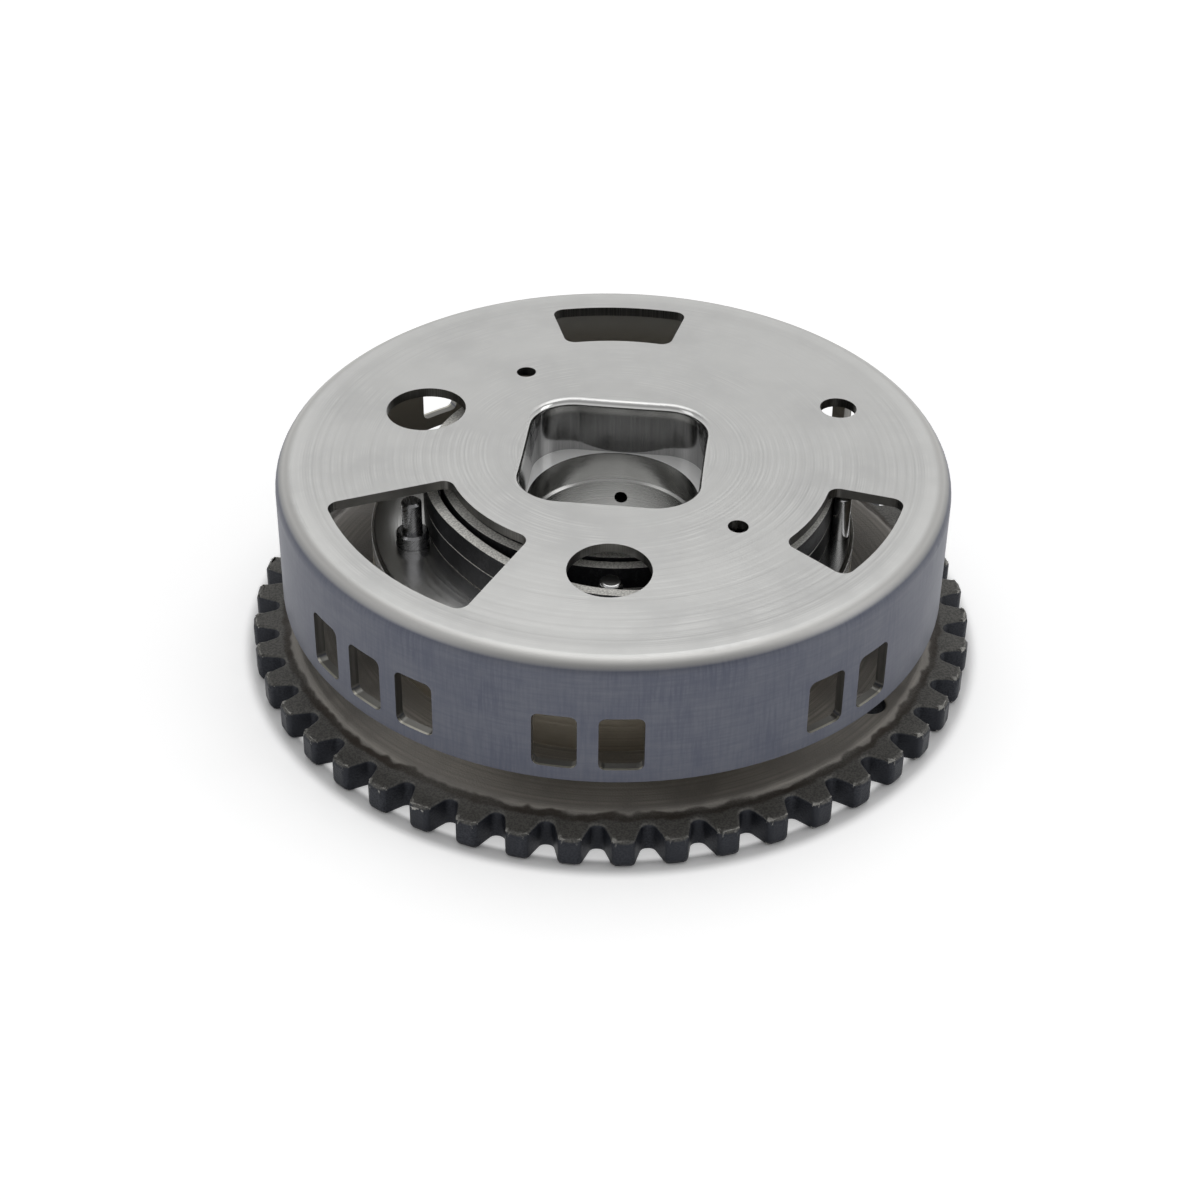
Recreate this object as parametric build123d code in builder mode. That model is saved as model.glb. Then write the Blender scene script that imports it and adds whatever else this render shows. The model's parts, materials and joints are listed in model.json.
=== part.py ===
from build123d import *
import os
from math import atan2, cos, degrees, hypot, radians, sin, sqrt, tan

os.makedirs("parts", exist_ok=True)

# Vane-type cam phaser, standing on the rear face of its sprocket, in millimetres.
# Z is the camshaft axis and points at the tone wheel. Angles run from +X towards +Y.

# Chain sprocket: a toothed disc with a slightly raised web, closing the chambers at the rear.
# It drives an inverted-tooth chain, whose straight flanks lean less as the tooth count falls.
tooth_count = 46
chain_pitch = 8.0
tip_circle_factor = 0.08
link_flank_angle = 30.0
tooth_depth = 4.0
gap_floor_width = 1.7
gap_floor_round = 1.1
tip_round = 1.0
tooth_width = 5.2
tooth_shoulder = 0.9
tooth_chamfer = 0.7
first_tooth_angle = 6.0
land_height = 0.7
land_margin = 1.8
rear_recess_depth = 0.6
rear_rim_width = 6.8
rear_hub_width = 2.7
timing_hole_radius = 2.35
timing_hole_circle = 48.5
timing_hole_angle = 327.2

# Housing: ring with four webs, closed by the front cover
housing_radius = 38.8
chamber_count = 4
chamber_depth = 12.95
housing_wall = 4.7
chamber_corner = 1.6
cover_thickness = 3.6
cover_chamfer = 0.5
web_angle = 193.6

# Rotor: hub with three slim vanes and a wide one that carries the lock pin
vane_height = 12.0
collar_step = 3.1
rotor_boss_height = 1.7
timing_range = 27.0
stop_gap_angle = 0.3
wide_vane_angle = 29.0
slim_vane_angle = 18.0
valve_bore_radius = 13.55
valve_bore_chamfer = 0.3
shank_bore_radius = 10.5
camshaft_bore_radius = 15.0
camshaft_bore_depth = 5.2
rotor_web_thickness = 3.2
oil_hole_radius = 1.1
oil_hole_inset = 1.8
oil_hole_margin = 3.0
camshaft_dowel_radius = 2.0
camshaft_dowel_depth = 2.0

# Running clearances between the housing and what turns in it
side_clearance = 0.05
hub_clearance = 0.06
tip_clearance = 0.1
cover_bore_clearance = 0.15

# Tip seals, each on a leaf spring in a slot of its vane
seal_width = 2.0
seal_height = 2.4
seal_slot_depth = 3.2
seal_clearance = 0.04
leaf_thickness = 0.2
leaf_end_gap = 1.0

# Lock pin in the wide vane, its spring, cap and bush
lock_pin_radius = 3.0
lock_pin_fit = 0.03
lock_pin_flange_radius = 3.9
lock_pin_wall = 1.0
lock_pin_flange_height = 1.6
lock_pin_length = 7.6
lock_pin_hollow_radius = 2.2
lock_pin_tip = 1.6
lock_pin_chamfer = 0.6
lock_stroke = 1.0
lock_cap_thickness = 0.8
lock_vent_radius = 0.8
lock_wire_diameter = 0.6
lock_wire_clearance = 0.25
lock_spring_turns = 6
lock_bush_radius = 4.9
lock_bush_bore_radius = 3.4
lock_bush_height = 3.8
lock_bush_chamfer = 0.5

# Cover screws from the rear, one of them with a long post end, and locating dowels
screw_inset = 6.2
screw_radius = 2.6
screw_hole_radius = 2.8
screw_head_radius = 4.6
screw_head_height = 2.7
screw_head_seat_radius = 4.9
screw_end_inset = 0.4
socket_radius = 1.9
socket_lobe_radius = 0.55
socket_depth = 1.4
thread_clearance = 0.02
dowel_radius = 1.5
dowel_spacing = 7.1
dowel_length = 8.4
dowel_inset = 2.0

# Tone wheel: drawn sheet cup with a rounded-square pocket and a tube that meets the rotor
cup_radius = 53.5
cup_depth = 21.7
cup_gap = 7.2
sheet = 1.6
rim_round = 2.7
crown_height = 0.95
rim_width = 6.9
crown_flat_radius = 20.5
pocket_half = 14.35
pocket_pinch = 0.25
pocket_corner = 6.9
pocket_depth = 9.5
pocket_wall = 1.3
pocket_turn = -6.0
pocket_floor_round = 2.6
lip_round = 1.1
tube_bore_radius = 13.95
tube_wall = 1.5
post_hole_radius = 6.45
sight_hole_radius = 3.0
tool_hole_radius = 1.6
window_corner = 1.9
side_window_angle = 7.25
side_window_pitch = 10.6
side_window_height = 9.65
side_window_rise = 2.3
side_window_corner = 1.15

# Flat spiral bias spring: two strips stacked, wound off-centre between the hub and the posts.
# The strip, its pitch and its lean are shares of the room between the pocket and the post screw.
strip_share = 0.16
pitch_share = 0.252
lean_share = 0.319
strip_height = 3.8
strip_clearance = 0.1
screw_gap = 0.32
coil_lean_angle = 92.0
guide_post_radius = 1.85
guide_post_gap = 1.4
guide_post_angle = 269.5
anchor_post_radius = 1.4
anchor_post_inset = 2.2
anchor_post_angle = 353.0
anchor_hook_angle = 110.0
hub_start_angle = -57
hub_end_angle = 3
coil_start_angle = -510
coil_end_angle = 210
hub_point_angle = 10
coil_point_angle = 15
spring_arc_count = 36
screw_post_radius = 1.6
screw_post_step = 2.3
post_seat_depth = 3.0
post_overhang = 0.1
post_chamfer = 0.35

# Places worked out from the sizes above
tooth_angle = 360 / tooth_count
tip_radius = chain_pitch / 2 * (1 / tan(radians(tooth_angle / 2)) + tip_circle_factor)
root_radius = tip_radius - tooth_depth
flank_angle = link_flank_angle - tooth_angle
land_radius = root_radius - land_margin
web_top = tooth_width + land_height
chamber_radius = housing_radius - housing_wall
hub_radius = chamber_radius - vane_height
collar_radius = hub_radius - collar_step
screw_circle = housing_radius - screw_inset
dowel_circle = screw_circle - dowel_spacing
cover_bottom = web_top + chamber_depth
cover_top = cover_bottom + cover_thickness
rotor_bottom = web_top + side_clearance
rotor_top = cover_bottom - side_clearance
boss_top = rotor_top + rotor_boss_height
vane_radius = chamber_radius - tip_clearance
slot_floor = vane_radius - seal_slot_depth
lock_pin_circle = slot_floor - lock_pin_wall - lock_pin_flange_radius - lock_pin_fit
cup_bottom = tooth_width + cup_gap
cup_top = cup_bottom + cup_depth
crown_top = cup_top + crown_height
pocket_floor = crown_top - pocket_depth
tube_radius = tube_bore_radius + tube_wall
chamber_angle = wide_vane_angle + timing_range + 2 * stop_gap_angle
chamber_pitch = 360 / chamber_count
first_chamber_angle = web_angle - chamber_pitch / 2
wide_vane_place = first_chamber_angle + timing_range / 2
slim_vane_places = [wide_vane_place + chamber_pitch * number for number in range(1, chamber_count)]
vane_places = [wide_vane_place] + slim_vane_places
rear_strip_bottom = cover_top + strip_clearance
front_strip_bottom = rear_strip_bottom + strip_height + strip_clearance
post_top = front_strip_bottom + strip_height + post_overhang
hub_corner_centre = sqrt(2) * (pocket_half - pocket_corner)
hub_reach = hub_corner_centre + pocket_corner + pocket_wall + strip_clearance
coil_limit = screw_circle - screw_radius - screw_gap
spring_room = coil_limit - hub_reach
strip_thickness = strip_share * spring_room
coil_pitch = pitch_share * spring_room
coil_lean = lean_share * spring_room
strip_offset = strip_clearance + strip_thickness / 2
hub_flat = pocket_half + pocket_wall + strip_offset
hub_corner_round = pocket_corner + pocket_wall + strip_offset
hub_corner_spread = 45 - degrees(atan2(pocket_half - pocket_corner, hub_flat))


def polar(radius, angle):
    """The point at this radius and angle, as x and y."""
    return (radius * cos(radians(angle)), radius * sin(radians(angle)))


def coil_growth(angle):
    """How the free turns of the bias spring widen with the angle, and lean to one side."""
    return coil_pitch * angle / 360 + coil_lean * cos(radians(angle - coil_lean_angle))


def coil_radius(angle):
    """The free turns of the bias spring's strip, which pass just inside the post screw."""
    return coil_limit - strip_thickness / 2 + coil_growth(angle) - coil_growth(web_angle)


def reach(point):
    """How far this point lies from the axis."""
    return hypot(point.X, point.Y)


inner_turn_face = coil_radius(guide_post_angle - 360) + strip_thickness / 2
guide_post_circle = inner_turn_face + guide_post_gap + guide_post_radius
anchor_post_circle = housing_radius - anchor_post_inset


def radial_plane(angle, height):
    """A plane on the axis at this height, whose normal points outwards at this angle."""
    outward = (cos(radians(angle)), sin(radians(angle)), 0)
    sideways = (-sin(radians(angle)), cos(radians(angle)), 0)
    return Plane(origin=(0, 0, height), x_dir=sideways, z_dir=outward)


def ring_sector(inner_radius, outer_radius, spread):
    """A piece of a flat ring, centred on +X."""
    with BuildSketch() as sector:
        with BuildLine():
            inner_arc = CenterArc((0, 0), inner_radius, -spread / 2, spread)
            outer_arc = CenterArc((0, 0), outer_radius, -spread / 2, spread)
            Line(inner_arc @ 0, outer_arc @ 0)
            Line(inner_arc @ 1, outer_arc @ 1)
        make_face()
    return sector.sketch


def rounded_sector(inner_radius, outer_radius, spread, corner, all_corners):
    """A ring sector with its outer corners, or all four, rounded."""
    with BuildSketch() as sector:
        add(ring_sector(inner_radius, outer_radius, spread))
        corners = sector.vertices().sort_by(reach)
        fillet(corners if all_corners else corners[2:], corner)
    return sector.sketch


def pocket_outline(half, corner, pinch):
    """A square with rounded corners, whose sides bow inwards a little."""
    with BuildSketch() as outline:
        with BuildLine():
            for side in range(4):
                start = Vector(half, -half).rotate(Axis.Z, 90 * side)
                middle = Vector(half - pinch, 0).rotate(Axis.Z, 90 * side)
                end = Vector(half, half).rotate(Axis.Z, 90 * side)
                ThreePointArc(start, middle, end)
        make_face()
        fillet(outline.vertices(), corner)
    return outline.sketch


def save(piece, name):
    """Labels a finished piece and writes it under its name."""
    piece.part.label = name
    export_step(piece.part, f"parts/{name}.step")


# Sprocket, seen from the front: teeth, raised web, and holes for what it carries
gap_floor_half = gap_floor_width / 2
gap_mouth_half = gap_floor_half + 2 * tooth_depth * tan(radians(flank_angle))
pin_place = polar(lock_pin_circle, wide_vane_place)
dowel_angle = web_angle + chamber_pitch
with BuildPart() as sprocket:
    with BuildSketch() as tooth_gap:
        Polygon(
            (0, -gap_floor_half),
            (2 * tooth_depth, -gap_mouth_half),
            (2 * tooth_depth, gap_mouth_half),
            (0, gap_floor_half),
            align=None,
        )
        fillet(tooth_gap.vertices().sort_by(Axis.X)[:2], gap_floor_round)
    with BuildSketch() as toothed_disc:
        Circle(tip_radius)
        with PolarLocations(root_radius, tooth_count, start_angle=first_tooth_angle + tooth_angle / 2):
            add(tooth_gap.sketch, mode=Mode.SUBTRACT)
        fillet(toothed_disc.vertices().group_by(reach)[-1], tip_round)
    extrude(amount=tooth_width)
    with BuildSketch(Plane.XZ):
        with BuildLine():
            face_corner = (tip_radius - tooth_shoulder, tooth_width)
            tip_corner = (tip_radius, tooth_width - tooth_shoulder)
            Polyline(face_corner, (0, tooth_width), (0, 0), (tip_radius - tooth_chamfer, 0))
            Polyline((tip_radius - tooth_chamfer, 0), (tip_radius, tooth_chamfer), tip_corner)
            RadiusArc(face_corner, tip_corner, tooth_shoulder)
        make_face()
    revolve(axis=Axis.Z, mode=Mode.INTERSECT)
    with BuildSketch(Plane.XY.offset(tooth_width)):
        Circle(land_radius)
    extrude(amount=land_height, taper=45)
    with BuildSketch():
        Circle(root_radius - rear_rim_width)
        Circle(collar_radius + rear_hub_width, mode=Mode.SUBTRACT)
    extrude(amount=rear_recess_depth, mode=Mode.SUBTRACT)
    with BuildSketch():
        Circle(collar_radius + hub_clearance)
        with PolarLocations(screw_circle, chamber_count, start_angle=web_angle):
            Circle(screw_hole_radius)
    extrude(amount=web_top, mode=Mode.SUBTRACT)
    with BuildSketch():
        with PolarLocations(screw_circle, chamber_count, start_angle=web_angle):
            Circle(screw_head_seat_radius)
    extrude(amount=rear_recess_depth + screw_head_height, mode=Mode.SUBTRACT)
    with BuildSketch(Plane.XY.offset(web_top)):
        with Locations(pin_place):
            Circle(lock_bush_radius)
    extrude(amount=-lock_bush_height, mode=Mode.SUBTRACT)
    with BuildSketch():
        with Locations(pin_place):
            Circle(lock_vent_radius)
    extrude(amount=web_top, mode=Mode.SUBTRACT)
    with BuildSketch(Plane.XY.offset(dowel_inset)):
        with PolarLocations(dowel_circle, 2, start_angle=dowel_angle):
            Circle(dowel_radius)
    extrude(amount=web_top, mode=Mode.SUBTRACT)
    with BuildSketch(Plane.XY.offset(web_top)):
        with Locations(polar(timing_hole_circle, timing_hole_angle)):
            Circle(timing_hole_radius)
    extrude(amount=-web_top, mode=Mode.SUBTRACT)
save(sprocket, "sprocket")

# Stator housing: the wall and webs between which the vanes move
with BuildPart() as stator_housing:
    with BuildSketch(Plane.XY.offset(web_top)):
        Circle(housing_radius)
        Circle(hub_radius + hub_clearance, mode=Mode.SUBTRACT)
        with PolarLocations(0, chamber_count, start_angle=first_chamber_angle):
            add(
                rounded_sector(hub_radius / 2, chamber_radius, chamber_angle, chamber_corner, False),
                mode=Mode.SUBTRACT,
            )
        with PolarLocations(screw_circle, chamber_count, start_angle=web_angle):
            Circle(screw_hole_radius, mode=Mode.SUBTRACT)
    extrude(amount=chamber_depth)
    with BuildSketch(Plane.XY.offset(web_top)):
        with PolarLocations(dowel_circle, 2, start_angle=dowel_angle):
            Circle(dowel_radius)
    extrude(amount=dowel_inset + dowel_length - web_top, mode=Mode.SUBTRACT)
save(stator_housing, "stator_housing")

# Front cover: a polished plate with the spring posts on it
with BuildPart() as front_cover:
    with BuildSketch(Plane.XY.offset(cover_bottom)):
        Circle(housing_radius)
        Circle(tube_radius + cover_bore_clearance, mode=Mode.SUBTRACT)
        with PolarLocations(screw_circle, chamber_count, start_angle=web_angle):
            Circle(screw_radius + thread_clearance, mode=Mode.SUBTRACT)
    extrude(amount=cover_thickness)
    rims = front_cover.edges().group_by(Axis.Z)[-1].sort_by(SortBy.RADIUS)
    chamfer(rims[-1], cover_chamfer)
    with BuildSketch(Plane.XY.offset(cover_top)):
        with Locations(polar(guide_post_circle, guide_post_angle)):
            Circle(guide_post_radius)
        with Locations(polar(anchor_post_circle, anchor_post_angle)):
            Circle(anchor_post_radius)
    extrude(amount=-post_seat_depth, mode=Mode.SUBTRACT)
save(front_cover, "front_cover")


# Posts that guide and hold the outer end of the bias spring
def spring_post(radius, circle, angle):
    with BuildPart() as post:
        with BuildSketch(Plane.XY.offset(cover_top - post_seat_depth)):
            with Locations(polar(circle, angle)):
                Circle(radius)
        extrude(amount=post_top - cover_top + post_seat_depth)
        chamfer(post.edges().group_by(Axis.Z)[-1], post_chamfer)
    return post


guide_post = spring_post(guide_post_radius, guide_post_circle, guide_post_angle)
save(guide_post, "guide_post")
anchor_post = spring_post(anchor_post_radius, anchor_post_circle, anchor_post_angle)
save(anchor_post, "anchor_post")


# Cover screws with a six-lobed socket, from the rear of the sprocket into the cover
def cover_screw(angle, end_height):
    with BuildPart() as screw:
        with BuildSketch(Plane.XY.offset(rear_recess_depth)):
            with Locations(polar(screw_circle, angle)):
                Circle(screw_head_radius)
        extrude(amount=screw_head_height)
        with BuildSketch(Plane.XY.offset(rear_recess_depth)):
            with Locations(polar(screw_circle, angle)):
                Circle(socket_radius)
                with PolarLocations(socket_radius, 6):
                    Circle(socket_lobe_radius)
        extrude(amount=socket_depth, mode=Mode.SUBTRACT)
        with BuildSketch(Plane.XY.offset(rear_recess_depth + screw_head_height)):
            with Locations(polar(screw_circle, angle)):
                Circle(screw_radius)
        extrude(amount=end_height - rear_recess_depth - screw_head_height)
        chamfer(screw.edges().group_by(Axis.Z)[-1], post_chamfer)
    return screw


for number in range(1, chamber_count):
    plain_screw = cover_screw(web_angle + number * chamber_pitch, cover_top - screw_end_inset)
    save(plain_screw, f"cover_screw_{number}")

# The fourth screw ends in a post in front of the cover
with BuildPart() as post_screw:
    add(cover_screw(web_angle, cover_top + screw_post_step).part)
    with BuildSketch(Plane.XY.offset(cover_top + screw_post_step)):
        with Locations(polar(screw_circle, web_angle)):
            Circle(screw_post_radius)
    extrude(amount=post_top - cover_top - screw_post_step)
    chamfer(post_screw.edges().group_by(Axis.Z)[-1], post_chamfer)
save(post_screw, "post_screw")

# Dowels that line the housing up with the sprocket
for number in range(2):
    with BuildPart() as locating_dowel:
        with BuildSketch(Plane.XY.offset(dowel_inset)):
            with Locations(polar(dowel_circle, dowel_angle + 180 * number)):
                Circle(dowel_radius)
        extrude(amount=dowel_length)
    save(locating_dowel, f"locating_dowel_{number + 1}")

# Rotor: hub, vanes, rear collar, stepped bore, oil holes, seal slots and the lock pin's bore
lock_step = rotor_bottom + lock_pin_length - lock_pin_flange_height - lock_stroke
vane_root = hub_radius / 2
with BuildPart() as rotor:
    with BuildSketch(Plane.XY.offset(rotor_bottom)):
        with PolarLocations(0, 1, start_angle=wide_vane_place):
            add(rounded_sector(vane_root, vane_radius, wide_vane_angle, chamber_corner, False))
        for place in slim_vane_places:
            with PolarLocations(0, 1, start_angle=place):
                add(rounded_sector(vane_root, vane_radius, slim_vane_angle, chamber_corner, False))
        Circle(hub_radius)
    extrude(amount=rotor_top - rotor_bottom)
    with BuildSketch():
        Circle(collar_radius)
    extrude(amount=rotor_bottom)
    with BuildSketch(Plane.XY.offset(rotor_top)):
        Circle(tube_radius)
    extrude(amount=rotor_boss_height)
    with BuildSketch(Plane.XZ):
        with BuildLine():
            Polyline(
                (0, 0),
                (camshaft_bore_radius, 0),
                (camshaft_bore_radius, camshaft_bore_depth),
                (shank_bore_radius, camshaft_bore_depth),
                (shank_bore_radius, camshaft_bore_depth + rotor_web_thickness),
                (valve_bore_radius, camshaft_bore_depth + rotor_web_thickness),
                (valve_bore_radius, boss_top - valve_bore_chamfer),
                (valve_bore_radius + valve_bore_chamfer, boss_top),
                (0, boss_top),
                close=True,
            )
        make_face()
    revolve(axis=Axis.Z, mode=Mode.SUBTRACT)
    with BuildSketch(Plane.XY.offset(camshaft_bore_depth)):
        with Locations(polar((camshaft_bore_radius + shank_bore_radius) / 2, wide_vane_place)):
            Circle(camshaft_dowel_radius)
    extrude(amount=camshaft_dowel_depth, mode=Mode.SUBTRACT)
    for place in slim_vane_places:
        side = slim_vane_angle / 2 + oil_hole_margin
        for angle, height in (
            (place + side, rotor_top - oil_hole_inset),
            (place - side, camshaft_bore_depth + rotor_web_thickness + oil_hole_inset),
        ):
            with BuildSketch(radial_plane(angle, height)):
                Circle(oil_hole_radius)
            extrude(amount=vane_radius, mode=Mode.SUBTRACT)
    with BuildSketch(Plane.XY.offset(rotor_bottom)):
        with Locations(pin_place):
            Circle(lock_pin_radius + lock_pin_fit)
        for place in vane_places:
            with PolarLocations(vane_radius, 1, start_angle=place):
                Rectangle(2 * seal_slot_depth, seal_width)
    extrude(amount=rotor_top - rotor_bottom, mode=Mode.SUBTRACT)
    with BuildSketch(Plane.XY.offset(lock_step)):
        with Locations(pin_place):
            Circle(lock_pin_flange_radius + lock_pin_fit)
    extrude(amount=rotor_top - lock_step, mode=Mode.SUBTRACT)
save(rotor, "rotor")

# Tip seals and the leaf springs that press them out
seal_top = chamber_radius - seal_clearance
leaf_rise = seal_top - seal_height - slot_floor - leaf_thickness
leaf_half = (rotor_top - rotor_bottom) / 2 - leaf_end_gap


def leaf_bow(foot):
    """One face of a leaf spring: its two ends at this radius and its middle bowed outwards."""
    return ThreePointArc((foot, -leaf_half), (foot + leaf_rise, 0), (foot, leaf_half))


for number, place in enumerate(vane_places, start=1):
    with BuildPart() as vane_seal:
        with BuildSketch(Plane.XY.offset(rotor_bottom)):
            with PolarLocations(seal_top - seal_height / 2, 1, start_angle=place):
                Rectangle(2 * seal_height, seal_width)
            with PolarLocations(0, 1, start_angle=place):
                add(ring_sector(seal_top - seal_height, seal_top, slim_vane_angle), mode=Mode.INTERSECT)
        extrude(amount=rotor_top - rotor_bottom)
    save(vane_seal, f"vane_seal_{number}")
    leaf_plane = Plane(
        origin=(0, 0, (rotor_bottom + rotor_top) / 2),
        x_dir=(*polar(1, place), 0),
        z_dir=radial_plane(place, 0).x_dir,
    )
    with BuildPart() as seal_spring:
        with BuildSketch(leaf_plane):
            with BuildLine():
                inner_bow = leaf_bow(slot_floor)
                outer_bow = leaf_bow(slot_floor + leaf_thickness)
                Line(inner_bow @ 0, outer_bow @ 0)
                Line(inner_bow @ 1, outer_bow @ 1)
            make_face()
        extrude(amount=seal_width / 2 - seal_clearance, both=True)
    save(seal_spring, f"seal_spring_{number}")

# Lock pin, drawn back just clear of the sprocket's web
pin_axis = Plane(origin=(*pin_place, rotor_bottom), x_dir=(1, 0, 0), z_dir=(0, -1, 0))
with BuildPart() as lock_pin:
    with BuildSketch(pin_axis):
        with BuildLine():
            Polyline(
                (0, 0),
                (lock_pin_radius - lock_pin_chamfer, 0),
                (lock_pin_radius, lock_pin_chamfer),
                (lock_pin_radius, lock_pin_length - lock_pin_flange_height),
                (lock_pin_flange_radius, lock_pin_length - lock_pin_flange_height),
                (lock_pin_flange_radius, lock_pin_length),
                (lock_pin_hollow_radius, lock_pin_length),
                (lock_pin_hollow_radius, lock_pin_tip),
                (0, lock_pin_tip),
                close=True,
            )
        make_face()
    revolve(axis=Axis((*pin_place, 0), (0, 0, 1)))
save(lock_pin, "lock_pin")

# Cap that holds the lock pin's spring in the vane
with BuildPart() as lock_pin_cap:
    with BuildSketch(Plane.XY.offset(rotor_top - lock_cap_thickness)):
        with Locations(pin_place):
            Circle(lock_pin_flange_radius + lock_pin_fit)
            Circle(lock_vent_radius, mode=Mode.SUBTRACT)
    extrude(amount=lock_cap_thickness)
save(lock_pin_cap, "lock_pin_cap")

# Coil spring between the lock pin and its cap
wire_radius = lock_wire_diameter / 2
lock_spring_bottom = rotor_bottom + lock_pin_tip + wire_radius
lock_spring_height = rotor_top - lock_cap_thickness - wire_radius - lock_spring_bottom
with BuildPart() as lock_pin_spring:
    with BuildLine():
        coil = Helix(
            pitch=lock_spring_height / lock_spring_turns,
            height=lock_spring_height,
            radius=lock_pin_hollow_radius - lock_wire_clearance - wire_radius,
            center=(*pin_place, lock_spring_bottom),
        )
    with BuildSketch(Plane(origin=coil @ 0, z_dir=coil % 0)):
        RegularPolygon(wire_radius, 8)
    sweep()
save(lock_pin_spring, "lock_pin_spring")

# Hardened bush in the sprocket, which the lock pin drops into
with BuildPart() as lock_bush:
    with BuildSketch(Plane.XY.offset(web_top - lock_bush_height)):
        with Locations(pin_place):
            Circle(lock_bush_radius)
            Circle(lock_bush_bore_radius, mode=Mode.SUBTRACT)
    extrude(amount=lock_bush_height)
    chamfer(lock_bush.edges().group_by(Axis.Z)[-1].sort_by(SortBy.RADIUS)[0], lock_bush_chamfer)
save(lock_bush, "lock_bush")

# Tone wheel: the cup is turned, and the pocket and its tube are drawn down from its crowned face
sheet_bottom = cup_top - sheet
crown_radius = cup_radius - rim_width
pocket_bottom = pocket_floor - pocket_wall
post_hole_places = ((-30.5, 12.4), (-0.5, -31.3))
sight_hole_place = (36.6, 14.8)
tool_hole_places = ((-14.6, 23.9), (19.0, -19.8))
face_windows = (
    (89.0, 29.0, 34.7, crown_radius),
    (219.9, 44.3, 26.6, crown_radius),
    (331.9, 28.4, 34.8, crown_radius),
)
side_window_groups = ((36.2, 2), (115.5, 2), (215.7, 3), (261.1, 2), (306.6, 2))
with BuildPart() as tone_wheel:
    with BuildSketch(Plane.XZ) as cup_profile:
        with BuildLine():
            Polyline(
                (0, crown_top),
                (crown_flat_radius, crown_top),
                (crown_radius, cup_top),
                (cup_radius, cup_top),
                (cup_radius, cup_bottom),
                (cup_radius - sheet, cup_bottom),
                (cup_radius - sheet, sheet_bottom),
                (crown_radius, sheet_bottom),
                (crown_flat_radius, crown_top - sheet),
                (0, crown_top - sheet),
                close=True,
            )
        make_face()
        rim_corners = cup_profile.vertices().filter_by(lambda vertex: vertex.Y > cup_bottom)
        fillet(rim_corners.sort_by(Axis.X)[-1], rim_round)
        fillet(rim_corners.sort_by(Axis.X)[-2], rim_round - sheet)
    revolve(axis=Axis.Z)
    with BuildSketch(Plane.XY.offset(pocket_bottom)):
        with Locations(Rotation(0, 0, pocket_turn)):
            add(pocket_outline(pocket_half + pocket_wall, pocket_corner + pocket_wall, pocket_pinch))
    extrude(amount=crown_top - pocket_bottom)
    fillet(tone_wheel.edges().filter_by_position(Axis.Z, pocket_bottom, pocket_bottom), pocket_floor_round)
    with BuildSketch(Plane.XY.offset(boss_top)):
        Circle(tube_radius)
    extrude(amount=pocket_floor - boss_top)
    with BuildSketch(Plane.XY.offset(pocket_floor)):
        with Locations(Rotation(0, 0, pocket_turn)):
            add(pocket_outline(pocket_half, pocket_corner, pocket_pinch))
    extrude(amount=crown_top - pocket_floor, mode=Mode.SUBTRACT)
    with BuildSketch(Plane.XY.offset(boss_top)):
        Circle(tube_bore_radius)
    extrude(amount=pocket_floor - boss_top, mode=Mode.SUBTRACT)
    crown_edges = tone_wheel.edges().filter_by_position(Axis.Z, crown_top, crown_top)
    fillet(crown_edges.filter_by(lambda edge: reach(edge @ 0) < crown_flat_radius - lip_round), lip_round)
    with BuildSketch(Plane.XY.offset(sheet_bottom)):
        with Locations(*post_hole_places):
            Circle(post_hole_radius)
        with Locations(sight_hole_place):
            Circle(sight_hole_radius)
        with Locations(*tool_hole_places):
            Circle(tool_hole_radius)
        for angle, spread, inner, outer in face_windows:
            with PolarLocations(0, 1, start_angle=angle):
                add(rounded_sector(inner, outer, spread, window_corner, True))
    extrude(amount=sheet + crown_height, mode=Mode.SUBTRACT)
    side_window_middle = cup_bottom + side_window_rise + side_window_height / 2
    side_window_width = 2 * cup_radius * sin(radians(side_window_angle / 2))
    for first, count in side_window_groups:
        for number in range(count):
            window_plane = radial_plane(first + number * side_window_pitch, side_window_middle)
            with BuildSketch(window_plane.offset(cup_radius - 2 * sheet)):
                RectangleRounded(side_window_width, side_window_height, side_window_corner)
            extrude(amount=3 * sheet, mode=Mode.SUBTRACT)
save(tone_wheel, "tone_wheel")

# Bias spring: from the pocket's wall, round and outwards, past the guide post to the anchor post
guide_seat = guide_post_circle + guide_post_radius + strip_offset
anchor_seat = anchor_post_circle - anchor_post_radius - strip_offset
hook_radius = anchor_post_radius + strip_offset


def hub_strip_radius(angle):
    """The strip on the rounded square hub, at this angle from the middle of a corner."""
    if abs(angle) > hub_corner_spread:
        return hub_flat / cos(radians(45 - abs(angle)))
    across = hub_corner_centre * sin(radians(angle))
    return hub_corner_centre * cos(radians(angle)) + sqrt(hub_corner_round**2 - across**2)


def outer_radius(angle):
    """The last stretch of the strip, from the guide post to the anchor post."""
    share = (angle - guide_post_angle) / (anchor_post_angle - guide_post_angle)
    return guide_seat + share * (anchor_seat - guide_seat)


spring_points = []
for angle in range(hub_start_angle, hub_end_angle + 1, hub_point_angle):
    spring_points.append(polar(hub_strip_radius(angle), pocket_turn + 135 + angle))
for angle in range(coil_start_angle, coil_end_angle + 1, coil_point_angle):
    spring_points.append(polar(coil_radius(angle), angle))
for angle in range(int(guide_post_angle), int(anchor_post_angle), coil_point_angle):
    spring_points.append(polar(outer_radius(angle), angle))
spring_points.append(polar(anchor_seat, anchor_post_angle))
start_direction = (Vector(*spring_points[1]) - Vector(*spring_points[0])).normalized()
end_direction = polar(1, anchor_post_angle + 90)
centreline = Spline(*spring_points, tangents=[start_direction, end_direction], mode=Mode.PRIVATE)


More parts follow.
